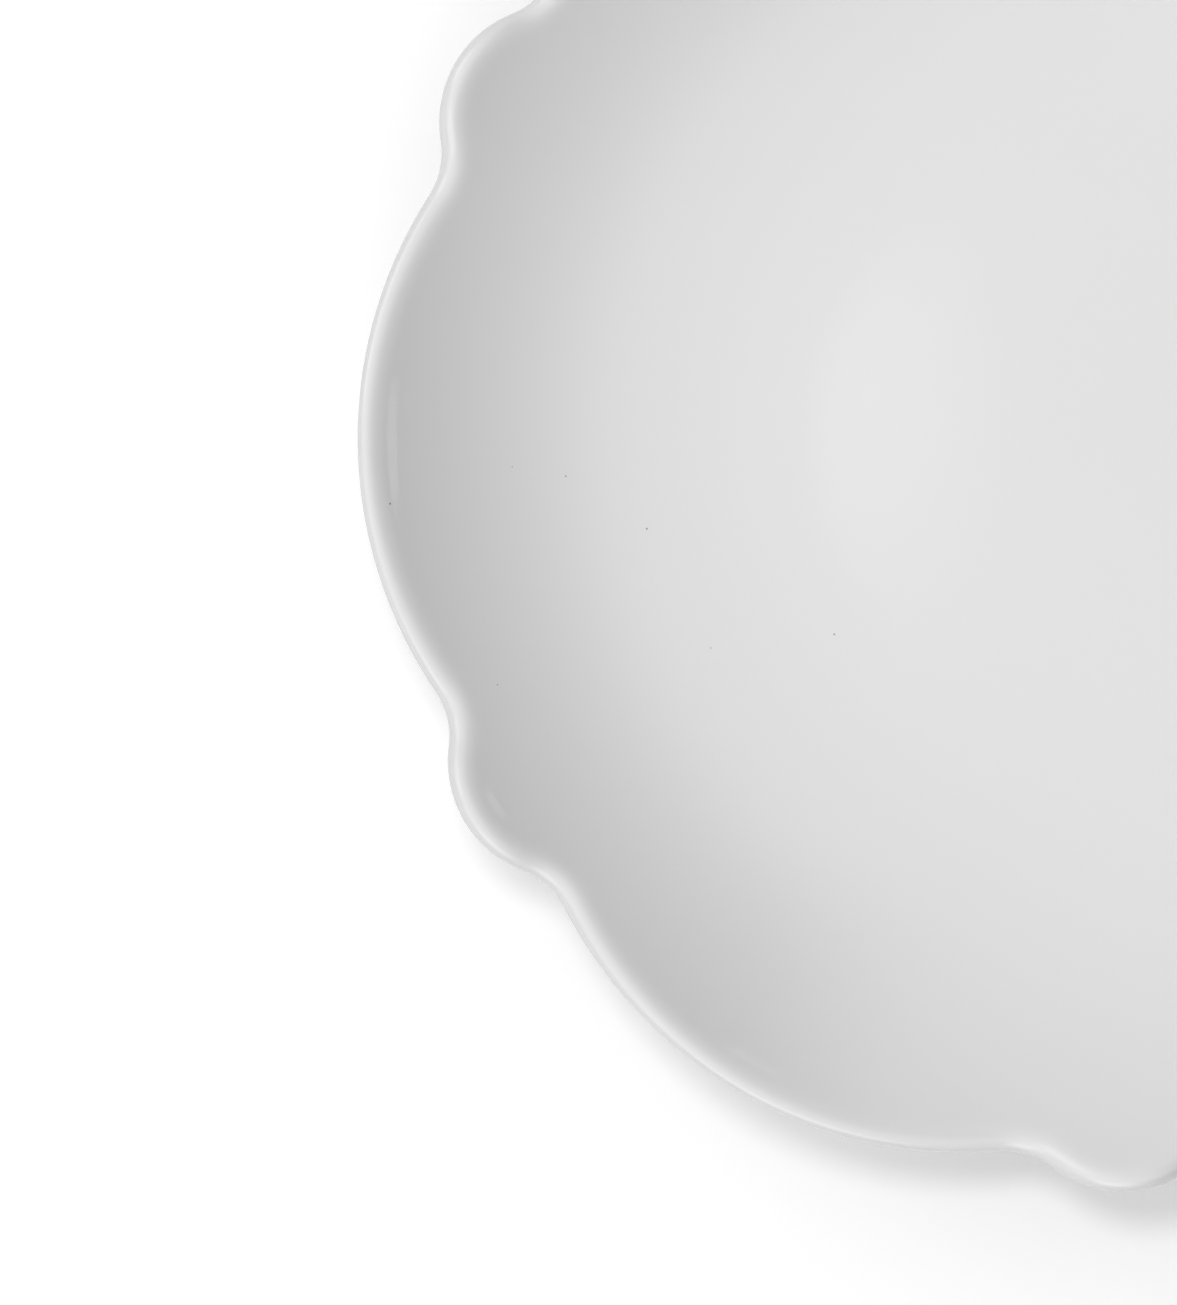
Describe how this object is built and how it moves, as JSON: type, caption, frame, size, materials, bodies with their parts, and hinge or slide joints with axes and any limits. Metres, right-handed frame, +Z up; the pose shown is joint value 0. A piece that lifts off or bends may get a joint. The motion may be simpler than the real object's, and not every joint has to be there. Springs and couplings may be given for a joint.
{
  "type": "dessert plate",
  "caption": "Round dished dessert plate in white glazed porcelain, with a scalloped rim of alternating large and small lobes, a rounded lip and a bare foot ring.",
  "frame": {"origin": "middle of the plate, on the plane that the foot ring rests on", "axes": "+Z up along the plate's axis, +X through the middle of a large lobe, +Y through the middle of a small lobe"},
  "size_m": [0.2, 0.2, 0.0296],
  "materials": {
    "bare_porcelain": "matt, bare fired clay, ground on the bearing face",
    "white_glaze": "glossy white glaze with a few fine iron specks"
  },
  "bodies": {
    "root": {"porcelain_body": "bare_porcelain", "glaze_coat": "white_glaze", "recess_glaze": "white_glaze"}
  },
  "joints": []
}
